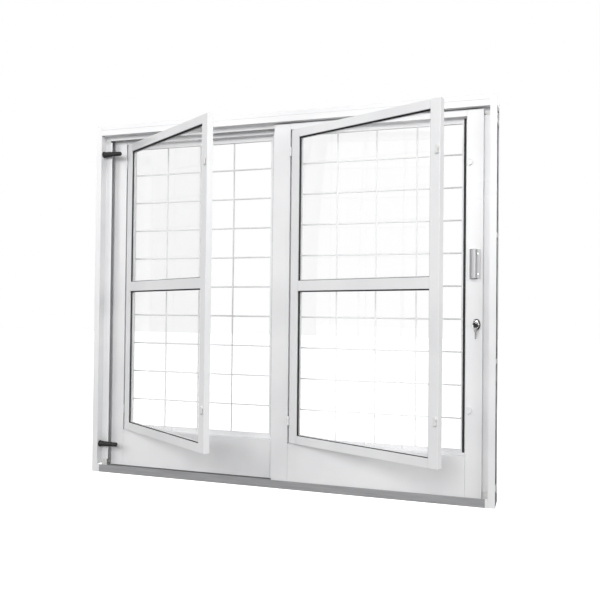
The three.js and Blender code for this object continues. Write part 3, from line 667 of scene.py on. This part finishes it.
def make_keeper(prefix, body, level):
    """A D-shaped pad with a raised crescent that stops the catch's arm."""
    node = f"{prefix}_{level}_keeper"
    low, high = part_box(node)
    mid_z, half = (low.z + high.z) / 2, (high.z - low.z) / 2
    reach = high.x - low.x
    pad = ellipse(low.x, mid_z, reach, half, -math.pi / 2, math.pi, 20)
    start, turn = -math.radians(72), math.radians(144)
    outer = ellipse(low.x, mid_z, reach, half, start, turn, 20)
    inner = ellipse(
        low.x - KEEPER_WALL, mid_z, reach - 1.6 * MM, half - KEEPER_WALL, start + turn, -turn, 20)
    bm = bmesh.new()
    add_prism(bm, pad, along_y, high.y - KEEPER_PLATE, high.y)
    add_prism(bm, [*outer, *inner], along_y, low.y, high.y - KEEPER_PLATE / 2)
    piece = make_piece(f"{prefix}_{level}_catch_keeper", bm, WHITE, body, edge=0.35 * MM)
    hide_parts(node)


# ---------------------------------------------------------------- stops, handle and lock

BUMPER_TIP_RADIUS = 7 * MM
BUMPER_FOOT = 3 * MM
BUMPER_DOME = 4 * MM
BUMPER_RIBS = 4
RIB_DEPTH = 0.7 * MM
PULL_SHEET = 2.2 * MM
PULL_LIP_WIDTH = 19 * MM
KEY_THICKNESS = 2.2 * MM
KEY_BOW_RADIUS = 9.8 * MM
KEY_TURN = math.radians(-38)
RING_RADIUS = 9 * MM
RING_WIRE = 0.8 * MM
SPARE_TURN = math.radians(25)
SPARE_CUTS = (0.2, 1.3, 0.6, 1.7, 0.4, 1.1)


def make_bumper(level):
    """A long rubber stop: a flanged foot, a slightly tapered shank with ribs, and a domed tip."""
    node = f"{level}_bumper"
    low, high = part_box(node)
    length = high.x - low.x
    centre = (low + high) / 2
    flange = (high.z - low.z) / 2
    base = flange - 1.5 * MM
    profile = [
        (0, 0),
        (flange, 0),
        (flange, BUMPER_FOOT - 0.8 * MM),
        (flange - 0.8 * MM, BUMPER_FOOT),
        (base, BUMPER_FOOT),
    ]
    for i in range(BUMPER_RIBS):
        at = BUMPER_FOOT + (length - 12 * MM) * (i + 1) / (BUMPER_RIBS + 1)
        radius = base + (BUMPER_TIP_RADIUS - base) * at / length
        profile += [(radius, at - 1.4 * MM), (radius - RIB_DEPTH, at - 0.6 * MM)]
        profile += [(radius - RIB_DEPTH, at + 0.6 * MM), (radius, at + 1.4 * MM)]
    round_from = BUMPER_TIP_RADIUS - BUMPER_DOME
    for i in range(7):
        angle = math.pi / 2 * i / 6
        profile.append((
            round_from + BUMPER_DOME * math.cos(angle),
            length - BUMPER_DOME + BUMPER_DOME * math.sin(angle),
        ))
    profile.append((0, length))
    bm = bmesh.new()
    add_lathe(bm, profile, lambda a, b, h: (low.x + h, centre.y + a, centre.z + b), 40)
    piece = make_piece(f"{level}_rubber_stop", bm, RUBBER, "frame", smooth=30)
    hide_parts(node)


def add_screw(bm, x, y, z, radius):
    """A low pan head facing -Y with a raised cross in its hollow, its seat at y."""
    head = 1.1 * MM
    profile = [
        (0, 0),
        (radius, 0),
        (radius, 0.4 * MM),
        (radius * 0.8, head),
        (radius * 0.62, head),
        (radius * 0.5, head - 0.5 * MM),
        (0, head - 0.7 * MM),
    ]
    add_lathe(bm, profile, lambda a, b, h: (x + a, y - h, z + b), 20)
    arm, half = radius * 0.5, 0.32 * MM
    floor, top = y - head + 0.55 * MM, y - head + 0.05 * MM
    for across, up in ((arm, half), (half, arm)):
        add_box(bm, (x - across, top, z - up), (x + across, floor, z + up))


def make_handle():
    """A pressed plate whose left edge sweeps forward into a finger lip with a rolled rim."""
    low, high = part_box("pull_handle")
    x0, back = low.x, high.y
    plate_front = back - PULL_SHEET
    lip_y = low.y
    lip_x = x0 + PULL_LIP_WIDTH
    rim_x = lip_x - 1 * MM
    inner_x, inner_y = x0 + PULL_SHEET + 1 * MM, lip_y + PULL_SHEET
    outside = curve((x0, plate_front), (x0, lip_y), (rim_x, lip_y), 16)
    inside = curve((rim_x, inner_y), (inner_x, inner_y), (inner_x, plate_front), 16)
    half = PULL_SHEET / 2
    rim = ellipse(rim_x, lip_y + half, half, half, -math.pi / 2, math.pi, 8)
    section = [(high.x, back), (x0, back), *outside[:-1], *rim, *inside[1:], (high.x, plate_front)]
    bm = bmesh.new()
    add_prism(bm, section, along_z, low.z, high.z)
    web_x, web_y = x0 + 0.6 * MM, lip_y + 0.8 * MM
    web = [
        *curve((web_x, back - 1 * MM), (web_x, web_y), (rim_x, web_y), 12),
        *curve((rim_x, lip_y + 1.6 * MM), (lip_x, back - 10 * MM), (lip_x + 5 * MM, back - 1 * MM), 8),
    ]
    for z0, z1 in ((low.z + 0.4 * MM, low.z + 2.6 * MM), (high.z - 2.6 * MM, high.z - 0.4 * MM)):
        add_prism(bm, web, along_z, z0, z1)
    handle = make_piece("finger_pull", bm, SATIN, "sliding_panel", edge=0.5 * MM, smooth=30)
    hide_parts("pull_handle")
    screws = bmesh.new()
    for z in (low.z + 13 * MM, high.z - 13 * MM):
        add_screw(screws, high.x - 6.5 * MM, plate_front, z, 2.6 * MM)
    make_piece("finger_pull_screws", screws, BRIGHT, "sliding_panel")


def cylinder_outline(x, z, radius, leg, drop):
    """The usual lock profile: a round top with a narrower leg under it."""
    start = -math.acos(leg / radius)
    top = ellipse(x, z, radius, radius, start, math.pi - 2 * start, 24)
    foot = ellipse(x, z - drop + leg, leg, leg, math.pi, math.pi, 12)
    return [*top, *foot]


def make_lock():
    """A plated cylinder, set just behind a black oval rosette that shows its plug."""
    low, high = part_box("lock_cylinder")
    pivot = Vector(joints["key_turn"]["pos_m"])
    x, z = pivot.x, pivot.z
    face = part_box("sliding_jamb_stile")[0].y
    drop = z - low.z
    bm = bmesh.new()
    outline = cylinder_outline(x, z, 8.4 * MM, 4.9 * MM, drop)
    add_prism(bm, outline, along_y, face + 0.2 * MM, high.y)
    cylinder = make_piece("cylinder_body", bm, BRIGHT, "sliding_panel", edge=0.4 * MM)
    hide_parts("lock_cylinder")
    middle = z - drop / 2 + 4 * MM
    seat = face - 0.1 * MM
    front = low.y - 0.5 * MM
    across, up, hole = 10.5 * MM, 17 * MM, 5.4 * MM
    bevel = 0.9 * MM
    ovals = (
        (middle, across, up, seat),
        (middle, across, up, seat - 2 * MM),
        (middle, across - bevel, up - bevel, front),
        (z, hole + 0.5 * MM, hole + 0.5 * MM, front),
        (z, hole, hole, front + 0.5 * MM),
        (z, hole, hole, seat),
    )
    loops = []
    for centre, half_wide, half_tall, y in ovals:
        loops.append([(u, y, v) for u, v in ellipse(x, centre, half_wide, half_tall, steps=48)])
    bm = bmesh.new()
    add_loops(bm, loops, closed=True)
    make_piece("lock_rosette", bm, RUBBER, "sliding_panel", smooth=45)


def add_key_plate(bm, outer, hole, place):
    """A flat plate with a hole; both outlines have the same number of points."""
    half = KEY_THICKNESS / 2
    sides = ((outer, -half), (outer, half), (hole, half), (hole, -half))
    add_loops(bm, [[place(u, v, w) for u, v in points] for points, w in sides], closed=True)


def make_key():
    """The plug and the key in it. The bow lies in a plane that holds the key's own axis."""
    pivot = Vector(joints["key_turn"]["pos_m"])
    hole_y = joints["spare_key_swing"]["pos_m"][1] - pivot.y
    plug_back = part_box("key")[1].y - pivot.y
    plug_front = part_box("lock_cylinder")[0].y - pivot.y
    turned = Matrix.Translation(pivot) @ Matrix.Rotation(KEY_TURN, 4, "Y")
    plug = [
        (0, plug_front),
        (4.6 * MM, plug_front),
        (5 * MM, plug_front + 0.4 * MM),
        (5 * MM, plug_back),
        (0, plug_back),
    ]
    bow_y = hole_y + 3 * MM
    bow = ellipse(bow_y, 0, KEY_BOW_RADIUS, KEY_BOW_RADIUS, steps=40)
    hole = ellipse(hole_y, 0, 3.5 * MM, 3.5 * MM, steps=40)
    half = KEY_THICKNESS / 2
    bm = bmesh.new()
    add_lathe(bm, plug, lambda a, b, h: (a, h, b), 28)
    add_key_plate(bm, bow, hole, lambda u, v, w: (w, u, v))
    add_box(bm, (-half, bow_y + 8.4 * MM, -3.6 * MM), (half, plug_front + 1 * MM, 3.6 * MM))
    key = make_piece("key_and_plug", bm, BRIGHT, "key", turned, edge=0.3 * MM)
    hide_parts("key")


def make_spare_key():
    """A wire ring through the key's hole, with a second key on it, turned a little aside."""
    hole_at = Vector(joints["spare_key_swing"]["pos_m"])
    centre = hole_at - Vector((0, 0, RING_RADIUS))
    bow_z = centre.z - RING_RADIUS - 6 * MM
    neck = bow_z - 7 * MM
    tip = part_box("spare_key")[0].z
    cos, sin = math.cos(SPARE_TURN), math.sin(SPARE_TURN)

    def place(u, v, w):
        return (hole_at.x + w * cos + u * sin, hole_at.y + u * cos - w * sin, v)

    ring = []
    for i in range(48):
        angle = WHOLE_TURN * i / 48
        ring.append(centre + RING_RADIUS * Vector((math.sin(angle), 0, math.cos(angle))))
    outer = ellipse(0, bow_z, 8.4 * MM, 7.9 * MM, steps=40)
    hole = ellipse(0, bow_z + 5.2 * MM, 1.9 * MM, 1.9 * MM, steps=40)
    half = 3.4 * MM
    pitch = (neck - tip - 3 * MM) / len(SPARE_CUTS)
    cuts = [(half, neck)]
    for i, depth in enumerate(SPARE_CUTS):
        at = neck - 1.5 * MM - i * pitch
        cuts += [(half - depth * MM, at), (half - depth * MM, at - 0.9 * MM)]
    blade = [
        (-half, neck),
        *cuts,
        (half - 2.4 * MM, tip),
        (-half + 1.2 * MM, tip),
        (-half, tip + 1.4 * MM),
    ]
    bm = bmesh.new()
    add_tube(bm, ring, RING_WIRE, (0, 1, 0), 10, closed=True)
    add_key_plate(bm, outer, hole, place)
    add_prism(bm, blade, place, -KEY_THICKNESS / 2, KEY_THICKNESS / 2)
    spare = make_piece("spare_key_on_ring", bm, BRIGHT, "spare_key")
    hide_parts("spare_key")


# ---------------------------------------------------------------- stage, light and camera


CAMERA_AT = (0.8145, -2.2043, 0.562)
CAMERA_LENS = 43.39
CAMERA_YAW, CAMERA_PITCH, CAMERA_ROLL = -0.3281, 0.0158, 0.0106
FLOOR_HALF_SIZE = 14
LIGHT_TARGET = (0, 0, 0.6)
# name, position, disc size in metres, power in watts
LIGHTS = (
    ("key_light", (6.3, -1.8, 2.4), 2.4, 170),
    ("front_fill", (0.5, -5.0, 2.0), 2.6, 118),
    ("left_fill", (-2.6, -3.6, 2.0), 2.4, 50),
)


def seen_ray(tree):
    """1 for what the camera sees, straight or through the glass, and 0 for the light it gives."""
    path = tree.nodes.new("ShaderNodeLightPath")
    either = tree.nodes.new("ShaderNodeMath")
    either.operation = "MAXIMUM"
    tree.links.new(path.outputs["Is Camera Ray"], either.inputs[0])
    tree.links.new(path.outputs["Is Transmission Ray"], either.inputs[1])
    return either.outputs["Value"]


def make_floor():
    """White where it's seen, but a dim grey for the light it throws back."""
    bm = bmesh.new()
    bmesh.ops.create_grid(bm, x_segments=1, y_segments=1, size=FLOOR_HALF_SIZE)
    mesh = bpy.data.meshes.new("floor")
    bm.to_mesh(mesh)
    bm.free()
    floor = bpy.data.objects.new("floor", mesh)
    floor.location.z = -0.2 * MM
    bpy.context.scene.collection.objects.link(floor)
    material = bpy.data.materials.new("pale_floor")
    material.use_nodes = True
    tree = material.node_tree
    tree.nodes.clear()
    seen = tree.nodes.new("ShaderNodeBsdfPrincipled")
    seen.inputs["Base Color"].default_value = (0.86, 0.86, 0.86, 1)
    seen.inputs["Roughness"].default_value = 0.9
    seen.inputs["Emission Color"].default_value = (1, 1, 1, 1)
    seen.inputs["Emission Strength"].default_value = 0.75
    bounce = tree.nodes.new("ShaderNodeBsdfDiffuse")
    bounce.inputs["Color"].default_value = (0.22, 0.22, 0.22, 1)
    mix = tree.nodes.new("ShaderNodeMixShader")
    out = tree.nodes.new("ShaderNodeOutputMaterial")
    tree.links.new(seen_ray(tree), mix.inputs["Fac"])
    tree.links.new(bounce.outputs["BSDF"], mix.inputs[1])
    tree.links.new(seen.outputs["BSDF"], mix.inputs[2])
    tree.links.new(mix.outputs["Shader"], out.inputs["Surface"])
    mesh.materials.append(material)


def make_world():
    """White to the camera; to everything else a soft dome, brighter above."""
    world = bpy.data.worlds.new("studio")
    bpy.context.scene.world = world
    world.use_nodes = True
    tree = world.node_tree
    tree.nodes.clear()
    place = tree.nodes.new("ShaderNodeTexCoord")
    split = tree.nodes.new("ShaderNodeSeparateXYZ")
    ramp = tree.nodes.new("ShaderNodeMapRange")
    ramp.inputs["From Min"].default_value = -0.2
    ramp.inputs["From Max"].default_value = 1.0
    ramp.inputs["To Min"].default_value = 0.45
    ramp.inputs["To Max"].default_value = 0.9
    dome = tree.nodes.new("ShaderNodeBackground")
    white = tree.nodes.new("ShaderNodeBackground")
    white.inputs["Color"].default_value = (1, 1, 1, 1)
    mix = tree.nodes.new("ShaderNodeMixShader")
    out = tree.nodes.new("ShaderNodeOutputWorld")
    tree.links.new(place.outputs["Generated"], split.inputs["Vector"])
    tree.links.new(split.outputs["Z"], ramp.inputs["Value"])
    tree.links.new(ramp.outputs["Result"], dome.inputs["Strength"])
    tree.links.new(seen_ray(tree), mix.inputs["Fac"])
    tree.links.new(dome.outputs["Background"], mix.inputs[1])
    tree.links.new(white.outputs["Background"], mix.inputs[2])
    tree.links.new(mix.outputs["Shader"], out.inputs["Surface"])


def make_light(name, position, size, power):
    data = bpy.data.lights.new(name, "AREA")
    data.shape = "DISK"
    data.size = size
    data.energy = power
    light = bpy.data.objects.new(name, data)
    light.location = position
    aim = Vector(LIGHT_TARGET) - Vector(position)
    light.rotation_euler = aim.to_track_quat("-Z", "Y").to_euler()
    bpy.context.scene.collection.objects.link(light)


def make_camera():
    """Low and to the right, turned left, with the window's own perspective."""
    yaw, pitch, roll = CAMERA_YAW, CAMERA_PITCH, CAMERA_ROLL
    level = math.cos(pitch)
    forward = Vector((math.sin(yaw) * level, math.cos(yaw) * level, math.sin(pitch)))
    right = Vector((math.cos(yaw), -math.sin(yaw), 0))
    up = right.cross(forward)
    right_rolled = right * math.cos(roll) + up * math.sin(roll)
    up_rolled = up * math.cos(roll) - right * math.sin(roll)
    data = bpy.data.cameras.new("camera")
    data.lens = CAMERA_LENS
    data.sensor_width = 36
    data.clip_start, data.clip_end = 0.05, 100
    camera = bpy.data.objects.new("camera", data)
    camera.matrix_world = Matrix.Translation(CAMERA_AT) @ Matrix(
        (right_rolled, up_rolled, -forward)).transposed().to_4x4()
    bpy.context.scene.collection.objects.link(camera)
    bpy.context.scene.camera = camera


make_camera()
make_world()
make_floor()
for light in LIGHTS:
    make_light(*light)
bpy.context.scene.view_settings.view_transform = "Standard"

dress_cad_nodes()
for prefix, (body, leaf) in PANELS.items():
    make_grille(prefix, body)
    make_seal(prefix, body)
    make_hinges(prefix, body, leaf)
    for level in LEVELS:
        make_glazing(leaf, level)
        make_catch(leaf, level)
        make_keeper(prefix, body, level)
for level in LEVELS:
    make_bumper(level)
make_brush()
make_jamb_shade_strips()
make_fixing_lugs()
make_corner_pieces()
make_handle()
make_lock()
make_key()
make_spare_key()
